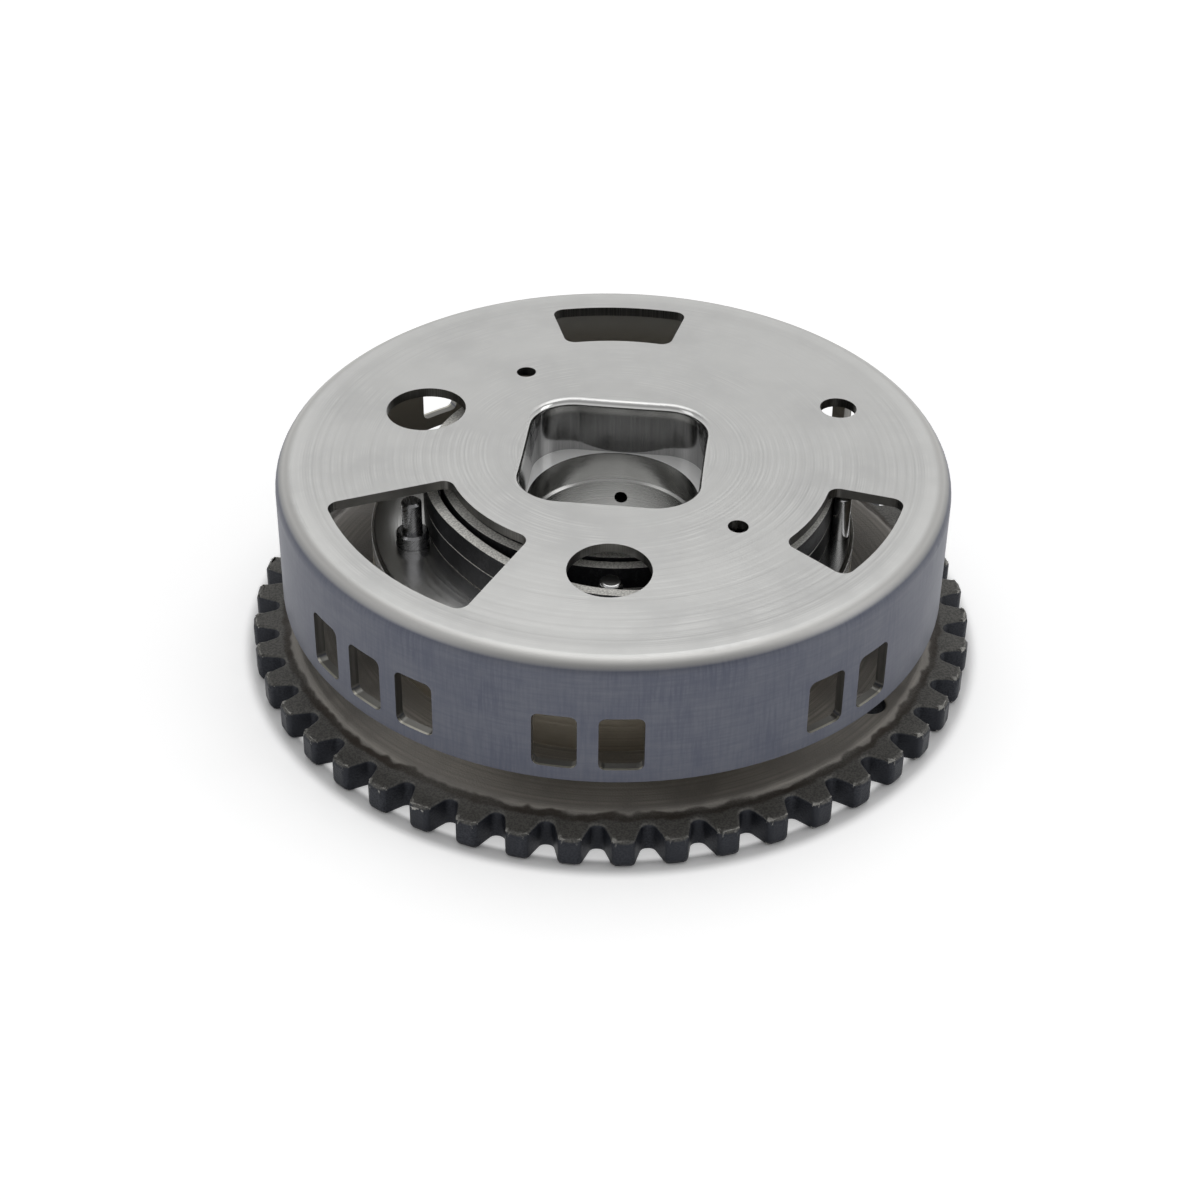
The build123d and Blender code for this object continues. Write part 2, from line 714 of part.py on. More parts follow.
def strip_side(shift):
    """One long face of the strip, in arcs beside its centreline, then the hook round the anchor post."""
    points = []
    for number in range(2 * spring_arc_count + 1):
        share = number / (2 * spring_arc_count)
        points.append(centreline @ share + (centreline % share).rotate(Axis.Z, 90) * shift)
    for number in range(0, 2 * spring_arc_count, 2):
        ThreePointArc(*points[number : number + 3])
    hook = JernArc(points[-1], end_direction, hook_radius + shift, -anchor_hook_angle)
    return points[0], hook @ 1


for name, bottom in (("bias_spring_rear", rear_strip_bottom), ("bias_spring_front", front_strip_bottom)):
    with BuildPart() as bias_spring:
        with BuildSketch(Plane.XY.offset(bottom)):
            with BuildLine():
                inner_start, inner_end = strip_side(strip_thickness / 2)
                outer_start, outer_end = strip_side(-strip_thickness / 2)
                Line(inner_start, outer_start)
                Line(inner_end, outer_end)
            make_face()
        extrude(amount=strip_height)
    save(bias_spring, name)
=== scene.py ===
# %% [markdown]
# # Cam phaser
#
# This lesson dresses a vane-type camshaft timing adjuster. The construction is a frame that is
# loaded as it is: every node of it already has its real size and place, in metres. The lesson
# adds what the frame lacks, which is worn and broken edges, spring copies that ride on the moving
# parts, turned and drawn metal, the studio and the camera.

import json
from math import cos, radians, sin

import bmesh
import bpy
from mathutils import Matrix, Vector

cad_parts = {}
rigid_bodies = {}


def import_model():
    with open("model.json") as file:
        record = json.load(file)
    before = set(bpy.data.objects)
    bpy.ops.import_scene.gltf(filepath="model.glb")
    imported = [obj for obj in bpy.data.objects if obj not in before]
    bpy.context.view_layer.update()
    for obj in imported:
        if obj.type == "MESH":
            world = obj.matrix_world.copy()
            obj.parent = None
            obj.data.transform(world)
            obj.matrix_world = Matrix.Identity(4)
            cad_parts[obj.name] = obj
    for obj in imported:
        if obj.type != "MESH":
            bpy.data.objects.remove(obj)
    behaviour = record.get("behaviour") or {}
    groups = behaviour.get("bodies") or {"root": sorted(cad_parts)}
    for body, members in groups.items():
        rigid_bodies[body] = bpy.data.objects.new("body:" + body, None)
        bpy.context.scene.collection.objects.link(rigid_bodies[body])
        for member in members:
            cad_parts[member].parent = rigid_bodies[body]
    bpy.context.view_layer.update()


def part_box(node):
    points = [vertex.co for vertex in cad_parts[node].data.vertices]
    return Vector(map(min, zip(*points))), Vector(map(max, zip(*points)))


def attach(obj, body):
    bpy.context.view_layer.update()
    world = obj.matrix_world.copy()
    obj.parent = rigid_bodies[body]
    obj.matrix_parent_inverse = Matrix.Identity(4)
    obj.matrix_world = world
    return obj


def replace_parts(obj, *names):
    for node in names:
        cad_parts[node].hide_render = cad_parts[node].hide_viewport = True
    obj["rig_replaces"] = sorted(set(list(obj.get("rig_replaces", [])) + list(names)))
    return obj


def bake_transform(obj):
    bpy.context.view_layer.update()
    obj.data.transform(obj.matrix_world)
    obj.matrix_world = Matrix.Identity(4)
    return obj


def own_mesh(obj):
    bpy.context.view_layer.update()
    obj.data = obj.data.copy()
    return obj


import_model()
scene = bpy.context.scene
MM = 0.001

# %% [markdown]
# ## Sizes read from the frame
#
# Finishes change at the pieces' own borders, such as the foot of the drawn rim or the edge of the
# raised web. Those places are worked out from the nodes' boxes, so that a finish stays on its
# border if the frame changes.

# %% Measure the main pieces
crown_height = 0.95 * MM
rim_round = 2.7 * MM
cup_low, cup_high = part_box("tone_wheel")
cup_radius = cup_high.x
cup_bottom = cup_low.z
crown_top = cup_high.z
cup_top = crown_top - crown_height
tip_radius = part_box("sprocket")[1].y
print("tone wheel", round(2 * cup_radius / MM, 1), "mm across")
print("crown at", round(crown_top / MM, 2), "mm")

# %% [markdown]
# ## Camera
#
# A product photograph is taken from a tripod with a longish lens. The camera stands in front of
# the part, looks down on it by about 37 degrees and is turned by less than one degree. It is
# placed by its distance from the middle of the tone wheel, so its numbers are real sizes. Its
# matrix is built from the view direction, which is easier to read than three angles.

# %% Place the camera
camera_elevation = radians(36.91)
camera_roll = radians(-0.808)
camera_distance = 399.3 * MM
camera_aside = 1.85 * MM
camera_above = 14.12 * MM
camera_lens = 74.34
sensor_width = 36
aim = Vector((0, 0, (cup_top + cup_bottom) / 2))
back = Vector((0, -cos(camera_elevation), sin(camera_elevation)))
right = Vector((1, 0, 0))
up = back.cross(right)
image_right = right * cos(camera_roll) - up * sin(camera_roll)
image_up = right * sin(camera_roll) + up * cos(camera_roll)
camera = bpy.data.objects.new("camera", bpy.data.cameras.new("camera"))
camera.data.lens = camera_lens
camera.data.sensor_width = sensor_width
camera.data.clip_start = 10 * MM
camera_place = aim + back * camera_distance - right * camera_aside - up * camera_above
axes = Matrix((image_right, image_up, back)).transposed().to_4x4()
camera.matrix_world = Matrix.Translation(camera_place) @ axes
scene.collection.objects.link(camera)
scene.camera = camera
print("camera", [round(v / MM, 1) for v in camera_place])

# %% [markdown]
# ## Node helpers
#
# A finish is a small graph of shader nodes. Built by hand in the editor it is quick to draw but
# hard to repeat, so a few helpers stand for what the hand does: add a node, feed its sockets from
# a number or another node's output, and wrap a graph as a group with named sockets. They keep
# every material below short enough to read.

# %% Add and feed shader nodes
def feed(tree, socket, value):
    """Link an output to a socket, or set the socket's own value."""
    if isinstance(value, bpy.types.NodeSocket):
        tree.links.new(value, socket)
    else:
        socket.default_value = value


def add_node(tree, kind, **sockets):
    """Add a node and feed its named sockets. An underscore in a name stands for a space."""
    node = tree.nodes.new(kind)
    for name, value in sockets.items():
        feed(tree, node.inputs[name.replace("_", " ")], value)
    return node


def calculate(tree, operation, *values):
    """A Math node's result."""
    node = tree.nodes.new("ShaderNodeMath")
    node.operation = operation
    for socket, value in zip(node.inputs, values):
        feed(tree, socket, value)
    return node.outputs[0]


def fade(tree, value, start, end):
    """A mask that goes smoothly from 0 at start to 1 at end."""
    node = tree.nodes.new("ShaderNodeMapRange")
    node.interpolation_type = "SMOOTHSTEP"
    for name, number in (("Value", value), ("From Min", start), ("From Max", end)):
        feed(tree, node.inputs[name], number)
    return node.outputs["Result"]


def across_middle(tree, noise, reach):
    """A mask that goes from 0 to 1 within this reach of a noise's middle value."""
    low = calculate(tree, "SUBTRACT", 0.5, reach)
    high = calculate(tree, "ADD", 0.5, reach)
    return fade(tree, noise, low, high)


def opposite(tree, mask):
    """The mask turned round."""
    return calculate(tree, "SUBTRACT", 1.0, mask)


def both(tree, *masks):
    """What all the masks cover."""
    result = masks[0]
    for mask in masks[1:]:
        result = calculate(tree, "MULTIPLY", result, mask)
    return result


def layer(tree, mask, below, above):
    """One colour over another where the mask is 1."""
    node = tree.nodes.new("ShaderNodeMix")
    node.data_type = "RGBA"
    feed(tree, node.inputs["Factor"], mask)
    colour_sockets = [socket for socket in node.inputs if socket.type == "RGBA"]
    for socket, colour in zip(colour_sockets, (below, above)):
        is_output = isinstance(colour, bpy.types.NodeSocket)
        feed(tree, socket, colour if is_output else (*colour, 1))
    return [socket for socket in node.outputs if socket.type == "RGBA"][0]


def level(tree, mask, low, high):
    """A number between low and high, after the mask."""
    node = tree.nodes.new("ShaderNodeMix")
    feed(tree, node.inputs["Factor"], mask)
    number_sockets = [socket for socket in node.inputs if socket.type == "VALUE"][1:]
    for socket, number in zip(number_sockets, (low, high)):
        feed(tree, socket, number)
    return node.outputs[0]


print("helpers ready")

# %% [markdown]
# ## Where a point lies on a round part
#
# Nearly everything here was turned round the camshaft's axis, so its marks follow the radius, the
# angle and the height rather than x and y. One helper works these out from the piece's own
# coordinates. A group is made for each effect that several pieces share, such as turning marks,
# so that one change reaches all of them.

# %% A place on a piece, in its own coordinates
def piece_place(tree):
    """A point's position, distance from the axis, angle and height, and its normal's parts."""
    coordinates = tree.nodes.new("ShaderNodeTexCoord")
    position = add_node(tree, "ShaderNodeSeparateXYZ", Vector=coordinates.outputs["Object"])
    normal = add_node(tree, "ShaderNodeSeparateXYZ", Vector=coordinates.outputs["Normal"])
    x, y, z = position.outputs
    radius = calculate(tree, "SQRT", calculate(tree, "ADD", both(tree, x, x), both(tree, y, y)))
    along_x = both(tree, normal.outputs["X"], x)
    along_y = both(tree, normal.outputs["Y"], y)
    return {
        "position": coordinates.outputs["Object"],
        "radius": radius,
        "angle": calculate(tree, "ARCTAN2", y, x),
        "height": z,
        "upward": normal.outputs["Z"],
        "outward": calculate(tree, "DIVIDE", calculate(tree, "ADD", along_x, along_y), radius),
    }


def new_group(name, inputs, output):
    """A shader node group with named inputs and one output."""
    group = bpy.data.node_groups.new(name, "ShaderNodeTree")
    for title, value in inputs.items():
        socket = group.interface.new_socket(title, in_out="INPUT", socket_type="NodeSocketFloat")
        socket.default_value = value
    group.interface.new_socket(output, in_out="OUTPUT", socket_type="NodeSocketFloat")
    given = group.nodes.new("NodeGroupInput").outputs
    return group, given, group.nodes.new("NodeGroupOutput").inputs[0]


def use_group(tree, group, **sockets):
    """Place a group in a material with its own values, and return what it puts out."""
    node = tree.nodes.new("ShaderNodeGroup")
    node.node_tree = group
    for name, value in sockets.items():
        feed(tree, node.inputs[name.replace("_", " ")], value)
    return node.outputs[0]


print("place helpers ready")

# %% [markdown]
# ## Turning marks
#
# A lathe tool leaves fine rings round the axis, on faces as well as in bores. A wave texture
# would make them all alike. Here a noise in one dimension runs along the radius and the height
# together, so that every ring has its own depth, and the rings go round corners as the tool did.

# %% Group: turning marks
wander_per_metre = 60.0
ring_contrast = (0.3, 0.7)
turning_marks, given, result = new_group(
    "turning_marks", {"Spacing": 0.2 * MM, "Wander": 0.15}, "Marks"
)
spot = piece_place(turning_marks)
wander = add_node(
    turning_marks,
    "ShaderNodeTexNoise",
    Vector=spot["position"],
    Scale=wander_per_metre,
    Detail=1.0,
)
across = calculate(turning_marks, "ADD", spot["radius"], spot["height"])
rings = calculate(turning_marks, "DIVIDE", across, given["Spacing"])
rings = calculate(turning_marks, "MULTIPLY_ADD", wander.outputs["Fac"], given["Wander"], rings)
grooves = turning_marks.nodes.new("ShaderNodeTexNoise")
grooves.noise_dimensions = "1D"
for name, value in (("W", rings), ("Scale", 1.0), ("Detail", 3.0), ("Roughness", 0.6)):
    feed(turning_marks, grooves.inputs[name], value)
feed(turning_marks, result, fade(turning_marks, grooves.outputs["Fac"], *ring_contrast))
print("group", turning_marks.name)

# %% [markdown]
# ## Streaks
#
# Drawing a cup through a die, or handling it, leaves marks that run one way over the wall. The
# noise is laid on the unrolled wall: the angle times a number gives the fineness round the axis,
# and the height another one.

# %% Group: streaks on an unrolled wall
streaks, given, result = new_group(
    "streaks", {"Round": 60.0, "Along": 60.0, "Sharpness": 0.2}, "Streaks"
)
spot = piece_place(streaks)
unrolled = add_node(
    streaks,
    "ShaderNodeCombineXYZ",
    X=calculate(streaks, "MULTIPLY", spot["angle"], given["Round"]),
    Y=calculate(streaks, "MULTIPLY", spot["height"], given["Along"]),
    Z=calculate(streaks, "MULTIPLY", spot["radius"], given["Along"]),
)
pattern = add_node(
    streaks,
    "ShaderNodeTexNoise",
    Vector=unrolled.outputs[0],
    Scale=1.0,
    Detail=4.0,
    Roughness=0.6,
)
feed(streaks, result, across_middle(streaks, pattern.outputs["Fac"], given["Sharpness"]))
print("group", streaks.name)

# %% [markdown]
# ## Stains
#
# Oil film, heat and handling leave cloudy patches of slightly different grey. A plain noise with
# a soft threshold is enough, and its size is given in real patches per metre.

# %% Group: cloudy stains
stains, given, result = new_group(
    "stains", {"Per Metre": 80.0, "Detail": 4.0, "Softness": 0.2}, "Stains"
)
spot = piece_place(stains)
clouds = add_node(
    stains,
    "ShaderNodeTexNoise",
    Vector=spot["position"],
    Scale=given["Per Metre"],
    Detail=given["Detail"],
)
feed(stains, result, across_middle(stains, clouds.outputs["Fac"], given["Softness"]))
print("group", stains.name)

# %% [markdown]
# ## Worn edges
#
# Sharp edges lose their dark skin first, and bare metal shows there. The Bevel node gives the
# normal that a rounded edge would have. Where it differs from the true normal there is an edge,
# and a noise breaks the line up, because wear is never even.

# %% Group: worn edges
edge_turn = (0.02, 0.2)
grit_contrast = (0.35, 0.6)
worn_edges, given, result = new_group(
    "worn_edges", {"Width": 0.2 * MM, "Breakup": 900.0, "Amount": 1.0}, "Wear"
)
rounded = add_node(worn_edges, "ShaderNodeBevel", Radius=given["Width"])
rounded.samples = 6
true_normal = worn_edges.nodes.new("ShaderNodeNewGeometry").outputs["Normal"]
turned = worn_edges.nodes.new("ShaderNodeVectorMath")
turned.operation = "DOT_PRODUCT"
feed(worn_edges, turned.inputs[0], rounded.outputs["Normal"])
feed(worn_edges, turned.inputs[1], true_normal)
edge = fade(worn_edges, opposite(worn_edges, turned.outputs["Value"]), *edge_turn)
grit = add_node(
    worn_edges,
    "ShaderNodeTexNoise",
    Vector=piece_place(worn_edges)["position"],
    Scale=given["Breakup"],
    Detail=3.0,
)
rubbed = fade(worn_edges, grit.outputs["Fac"], *grit_contrast)
feed(worn_edges, result, both(worn_edges, edge, rubbed, given["Amount"]))
print("group", worn_edges.name)

# %% [markdown]
# ## Giving a piece its finish
#
# Each finish is one material with the principled shader, because all pieces are plain metal or
# plastic. Its relief is a bump with a depth in real millimetres: these marks are far too fine to
# model.


# %% A finish, its relief, and how it reaches a node
def new_finish(name):
    """An empty node material with its principled shader."""
    material = bpy.data.materials.new(name)
    material.use_nodes = True
    tree = material.node_tree
    return material, tree, tree.nodes["Principled BSDF"].inputs


def add_relief(tree, shader, height, depth, strength=1.0):
    """A bump of this depth, in metres."""
    bump = add_node(tree, "ShaderNodeBump", Height=height, Distance=depth, Strength=strength)
    feed(tree, shader["Normal"], bump.outputs["Normal"])


def dress(material, *names):
    """Give a finish to nodes of the frame, or to the rounded copies that stand in for them."""
    for name in names:
        stand_ins = [piece for piece in scene.objects if name in piece.get("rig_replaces", [])]
        for piece in (bpy.data.objects[name], *stand_ins):
            piece.material_slots[0].material = material
    print(material.name, "on", ", ".join(names))


# %% [markdown]
# ## Broken edges
#
# No real edge is sharp. The sprocket is tumbled, the posts and the cover are chamfered and
# polished, and slitting leaves a small radius on the spring strip. A frame keeps such edges sharp
# to stay light. Each piece whose edges show gets a copy here: its loose triangles are merged, its
# flat faces joined again, and its sharp edges rounded. A weighted normal then keeps the flat
# faces flat. The copy stands in for the node and rides on its body.

# %% Round the edges of a node's copy
weld_distance = 0.002 * MM
flat_angle = radians(1)
sharp_angle = radians(28)
smooth_angle = radians(34)


def merged_copy(node):
    """A node's shape with its loose triangles merged."""
    bm = bmesh.new()
    bm.from_mesh(bpy.data.objects[node].data)
    bmesh.ops.remove_doubles(bm, verts=bm.verts, dist=weld_distance)
    return bm


def rounded_piece(bm, name, node, width, segments):
    """The piece that a merged shape makes once its edges are rounded. It stands in for the node."""
    bmesh.ops.dissolve_limit(bm, angle_limit=flat_angle, verts=bm.verts, edges=bm.edges)
    inner_edges = [edge for edge in bm.edges if edge.is_manifold]
    edges = [edge for edge in inner_edges if edge.calc_face_angle() > sharp_angle]
    bmesh.ops.bevel(
        bm,
        geom=edges,
        offset=width,
        offset_type="OFFSET",
        affect="EDGES",
        segments=segments,
        profile=0.5,
        material=-1,
        clamp_overlap=False,
    )
    bmesh.ops.remove_doubles(bm, verts=bm.verts, dist=weld_distance)
    open_edges = [edge for edge in bm.edges if edge.is_boundary]
    bmesh.ops.holes_fill(bm, edges=open_edges, sides=0)
    bmesh.ops.recalc_face_normals(bm, faces=bm.faces)
    # At a tight corner a bevel without clamping reaches a little past the node's own box.
    low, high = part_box(node)
    for vertex in bm.verts:
        limits = zip(vertex.co, low, high)
        vertex.co = [min(max(value, least), most) for value, least, most in limits]
    for face in bm.faces:
        face.smooth = True
        face.material_index = 0
    mesh = bpy.data.meshes.new(name)
    bm.to_mesh(mesh)
    bm.free()
    mesh.set_sharp_from_angle(angle=smooth_angle)
    mesh.materials.append(None)
    piece = bpy.data.objects.new(name, mesh)
    scene.collection.objects.link(piece)
    even = piece.modifiers.new("even_shading", "WEIGHTED_NORMAL")
    even.keep_sharp = True
    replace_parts(piece, node)
    print(piece.name, len(edges), "edges rounded,", len(mesh.polygons), "faces")
    return piece


def round_edges(node, body, width, segments):
    """A copy of a node with rounded edges, which rides on a body."""
    piece = rounded_piece(merged_copy(node), f"{node}_rounded", node, width, segments)
    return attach(piece, body)


round_edges("sprocket", "housing", 0.6 * MM, 3)
round_edges("front_cover", "housing", 0.12 * MM, 2)
round_edges("guide_post", "housing", 0.2 * MM, 3)
round_edges("anchor_post", "housing", 0.2 * MM, 3)

# %% [markdown]
# ## Bias springs
#
# Each strip holds on a corner of the pocket with its inner end and on the anchor post with its
# outer hook. When the rotor turns, the inner end goes with the tone wheel, the hook stays, and
# the coil winds up between them. A rigid strip would cut through the pocket. So each copy is cut
# in three: an end that rides with the tone wheel, a stretch between the two bodies that rides on
# neither, and a coil that stays. The rows of vertices along the strip show where to cut.

# %% Cut the strips where they leave the pocket
pocket_reach = 21.5 * MM
grip_angle = radians(58)
bend_angle = radians(125)
strip_edge_round = 0.12 * MM
same_facing = 0.99


def rows_from_inner_end(bm):
    """Each vertex's row, counted from the strip's inner end, and the middle of each row."""
    def looks_along(face):
        place = face.calc_center_median()
        return abs(face.normal.dot(Vector((-place.y, place.x, 0)).normalized()))

    inner_faces = [face for face in bm.faces if face.calc_center_median().xy.length < pocket_reach]
    end_face = max(inner_faces, key=looks_along)
    rows = {vertex: 0 for vertex in end_face.verts}
    for edge in end_face.edges:
        for face in edge.link_faces:
            if abs(face.normal.dot(end_face.normal)) > same_facing:
                rows.update({vertex: 0 for vertex in face.verts})
    front, middles = list(rows), []
    while front:
        middles.append(sum((vertex.co for vertex in front), Vector()) / len(front))
        joined = {edge.other_vert(vertex) for vertex in front for edge in vertex.link_edges}
        ahead = joined - rows.keys()
        rows.update({vertex: len(middles) for vertex in ahead})
        front = list(ahead)
    return rows, middles


def row_after(middles, first, angle):
    """The first row that lies this far round the axis from another one."""
    turned = 0
    for number in range(first + 1, len(middles)):
        turned += middles[number - 1].xy.angle_signed(middles[number].xy)
        if abs(turned) >= angle:
            return number
    return len(middles)


for strip in ("bias_spring_rear", "bias_spring_front"):
    whole = merged_copy(strip)
    rows, middles = rows_from_inner_end(whole)
    grip_row = row_after(middles, 0, grip_angle)
    coil_row = row_after(middles, grip_row, bend_angle)
    whole.faces.ensure_lookup_table()
    face_rows = [min(rows[vertex] for vertex in face.verts) for face in whole.faces]
    print(strip, len(middles), "rows, cut at", grip_row, "and", coil_row)
    stretches = (
        ("grip", 0, grip_row),
        ("bend", grip_row, coil_row),
        ("coil", coil_row, len(middles) + 1),
    )
    for stretch, first, end in stretches:
        bm = whole.copy()
        bm.faces.ensure_lookup_table()
        others = [face for face, row in zip(bm.faces, face_rows) if not first <= row < end]
        bmesh.ops.delete(bm, geom=others, context="FACES")
        name = f"{strip}_{stretch}"
        piece = rounded_piece(bm, name, strip, strip_edge_round, 2)
        if stretch == "bend":
            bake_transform(piece)
        else:
            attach(piece, "turning_group" if stretch == "grip" else "housing")
    whole.free()

# %% [markdown]
# ## Lock pin spring
#
# The small coil spring behind the lock pin shortens by the pin's stroke when oil pressure lifts
# the pin out of its bush. Its copy gets rounded edges and a mesh of its own, and rides with the
# turning group.

# %% A rounded copy of the pin's coil
pin_coil = round_edges("lock_pin_spring", "turning_group", 0.02 * MM, 1)
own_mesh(pin_coil)

# %% [markdown]
# ## Tone wheel
#
# The tone wheel is deep-drawn from sheet. Its face was ground and turned, so it is a light satin
# grey with faint rings and patches. The wall is laid in a dark bluish grey that is painted shade,
# with real streaks and scuffs over it. The rim between the two has a painted tone of its own that
# stands in for its highlight. The pocket was drawn by a polished punch and is nearly a mirror; its
# wall is painted dark with light streaks as a painted reflection, and its foot carries a painted
# highlight. The edges of the punched windows are dark, with fine upright shear lines, and the sills
# that face up are painted lighter, with a painted highlight along their outer edge. The whole wheel
# is one sheet, so it is one material, and the zones are masks made from the radius, the height and
# the normal.

# %% Tones of the tone wheel
face_grey = (0.71, 0.71, 0.695)
face_stain_grey = (0.63, 0.63, 0.62)
face_mark_grey = (0.74, 0.74, 0.725)
# The rim's tone is painted: it stands in for the rim highlight.
rim_highlight_tone = (0.56, 0.555, 0.54)
# The wall's dark bluish tones are painted shade; the grain and scuff tones are real marks within
# that shade.
wall_shade_blue = (0.091, 0.0975, 0.126)
wall_grain_in_shade = (0.122, 0.128, 0.155)
wall_scuff_in_shade = (0.140, 0.146, 0.168)
inside_grey = (0.34, 0.335, 0.32)
punched_dark = (0.13, 0.128, 0.122)
# The lighter punched tone is both the light of real shear lines and painted light on the sills; the
# bright sill tone is a painted highlight.
shear_light_and_lit_sill = (0.26, 0.255, 0.24)
sill_highlight = (0.62, 0.60, 0.53)
pocket_chrome = (0.62, 0.62, 0.61)
# The dark pocket wall tone and its light streaks are a painted reflection.
pocket_dark_reflection = (0.22, 0.22, 0.225)
pocket_reflection_streak = (0.36, 0.36, 0.36)
# The pale pocket foot tone is a painted highlight.
pocket_foot_highlight = (0.88, 0.88, 0.87)
print("face", face_grey, "and wall", wall_shade_blue)

# %% Marks and zones of the tone wheel
tilted = (0.3, 0.6)
facing = (0.5, 0.8)
pocket_zone_radius = 20.5 * MM
pocket_depth = 9.5 * MM
lip_low, lip_high = crown_top - 2.6 * MM, crown_top - 1.6 * MM
sill_highlight_width = 0.5 * MM

wheel_finish, tree, shader = new_finish("tone_wheel_finish")
spot = piece_place(tree)
radius, height = spot["radius"], spot["height"]
rings = use_group(tree, turning_marks, Spacing=0.35 * MM)
clouds = use_group(tree, stains, Per_Metre=55.0)
draw_lines = use_group(tree, streaks, Round=110.0, Along=150.0)
turn_lines = use_group(tree, streaks, Round=8.0, Along=1900.0)
blotches = use_group(tree, streaks, Round=7.0, Along=110.0)
face_patches = use_group(tree, stains, Per_Metre=210.0)
shear_and_reflection_lines = use_group(tree, streaks, Round=420.0, Along=30.0)

upright = opposite(tree, fade(tree, calculate(tree, "ABSOLUTE", spot["upward"]), *tilted))
not_skin = opposite(tree, fade(tree, calculate(tree, "ABSOLUTE", spot["outward"]), *facing))
downward = fade(tree, calculate(tree, "MULTIPLY", spot["upward"], -1.0), *tilted)
inward = fade(tree, calculate(tree, "MULTIPLY", spot["outward"], -1.0), *facing)

rim_foot = fade(tree, height, cup_top - 0.52 * rim_round, cup_top - 0.12 * rim_round)
below_rim = opposite(tree, rim_foot)
outer_zone = fade(tree, radius, cup_radius - 2 * rim_round, cup_radius - rim_round)
rim_highlight_band = both(
    tree,
    fade(tree, radius, cup_radius - rim_round, cup_radius - 0.6 * rim_round),
    fade(tree, height, cup_top - 0.5 * rim_round, cup_top - 0.2 * rim_round),
)
inner_wall = both(tree, upright, inward, outer_zone)
window_jamb = both(tree, not_skin, below_rim, upright)
# Painted light: window sills that face up are made lighter, and a thin line along their outer edge
# takes a painted highlight.
lit_window_sill = both(tree, below_rim, outer_zone, fade(tree, spot["upward"], *facing))
sill_highlight_line = fade(tree, radius, cup_radius - sill_highlight_width, cup_radius - 0.6 * sill_highlight_width)

past_pocket = fade(tree, radius, pocket_zone_radius - 1.2 * MM, pocket_zone_radius - 0.6 * MM)
at_crown = fade(tree, height, crown_top - 0.35 * MM, crown_top - 0.05 * MM)
in_pocket = both(tree, opposite(tree, past_pocket), opposite(tree, at_crown))
past_lip = fade(tree, radius, pocket_zone_radius, pocket_zone_radius + 0.2 * MM)
punched = both(tree, upright, past_lip)
below_lip = opposite(tree, fade(tree, height, lip_low, lip_high))
pocket_floor = crown_top - pocket_depth
above_floor = fade(tree, height, pocket_floor - 0.3 * MM, pocket_floor)
# Zone for the painted dark reflection on the pocket's wall.
painted_dark_pocket_wall = both(tree, in_pocket, upright, below_lip, above_floor)
# Zone for the painted highlight at the pocket's foot, which is also made less metallic to catch the
# light.
highlighted_pocket_foot = both(tree, in_pocket, fade(tree, spot["upward"], *tilted), below_lip)
print("zones of", wheel_finish.name)

# %% Layers of the tone wheel finish
face = layer(tree, clouds, face_grey, face_stain_grey)
face = layer(tree, both(tree, rings, face_patches), face, face_mark_grey)
# Painted highlight: the rim band gets a tone of its own.
face = layer(tree, rim_highlight_band, face, rim_highlight_tone)
# Painted shade: the wall is laid dark bluish, with real streaks and scuffs over it.
shaded_wall = layer(tree, both(tree, draw_lines, level(tree, turn_lines, 0.4, 1.0)), wall_shade_blue, wall_grain_in_shade)
shaded_wall = layer(tree, both(tree, blotches, level(tree, turn_lines, 0.3, 0.6)), shaded_wall, wall_scuff_in_shade)
colour = layer(tree, both(tree, below_rim, outer_zone), face, shaded_wall)
colour = layer(tree, downward, colour, inside_grey)
colour = layer(tree, inner_wall, colour, inside_grey)
punched_tone = layer(tree, shear_and_reflection_lines, punched_dark, shear_light_and_lit_sill)
colour = layer(tree, both(tree, punched, opposite(tree, outer_zone)), colour, punched_tone)
colour = layer(tree, window_jamb, colour, punched_tone)
# Painted light on the sills, and a painted highlight along their outer edge.
colour = layer(tree, lit_window_sill, colour, shear_light_and_lit_sill)
colour = layer(tree, both(tree, lit_window_sill, sill_highlight_line), colour, sill_highlight)
colour = layer(tree, in_pocket, colour, pocket_chrome)
# Painted reflection: the pocket's wall is dark with light streaks.
colour = layer(tree, painted_dark_pocket_wall, colour, layer(tree, shear_and_reflection_lines, pocket_dark_reflection, pocket_reflection_streak))
# Painted highlight on the pocket's foot.
colour = layer(tree, highlighted_pocket_foot, colour, pocket_foot_highlight)
feed(tree, shader["Base Color"], colour)
feed(tree, shader["Metallic"], level(tree, highlighted_pocket_foot, 1.0, 0.4))
roughness = level(tree, rings, 0.30, 0.40)
roughness = level(tree, outer_zone, roughness, 0.46)
roughness = level(tree, in_pocket, roughness, 0.14)
feed(tree, shader["Roughness"], level(tree, highlighted_pocket_foot, roughness, 0.34))
add_relief(tree, shader, rings, 0.002 * MM, 0.5)
dress(wheel_finish, "tone_wheel")

# %% [markdown]
# ## Sprocket
#
# The sprocket is pressed and sintered, then steam-treated, which gives it a blue-black oxide. Its
# web was turned afterwards and has gone brown-grey. The tops of the teeth are sandy from
# tumbling, and the tips are rubbed to bright metal where the chain has touched them.

# %% Sprocket finish
oxide_blue = (0.013, 0.015, 0.021)
oxide_light = (0.034, 0.037, 0.046)
tooth_sand = (0.070, 0.068, 0.064)
tooth_sand_light = (0.118, 0.115, 0.106)
web_brown = (0.190, 0.178, 0.163)
web_beige = (0.290, 0.272, 0.244)
# The dark tone in the step at the web's edge is painted shade.
step_shade_dark = (0.032, 0.024, 0.018)
bare_steel = (0.50, 0.49, 0.46)
tooth_land_width = 5.8 * MM
land_radius = tip_radius - tooth_land_width
border_waves = 2.2 * MM
waves_per_metre = 260.0

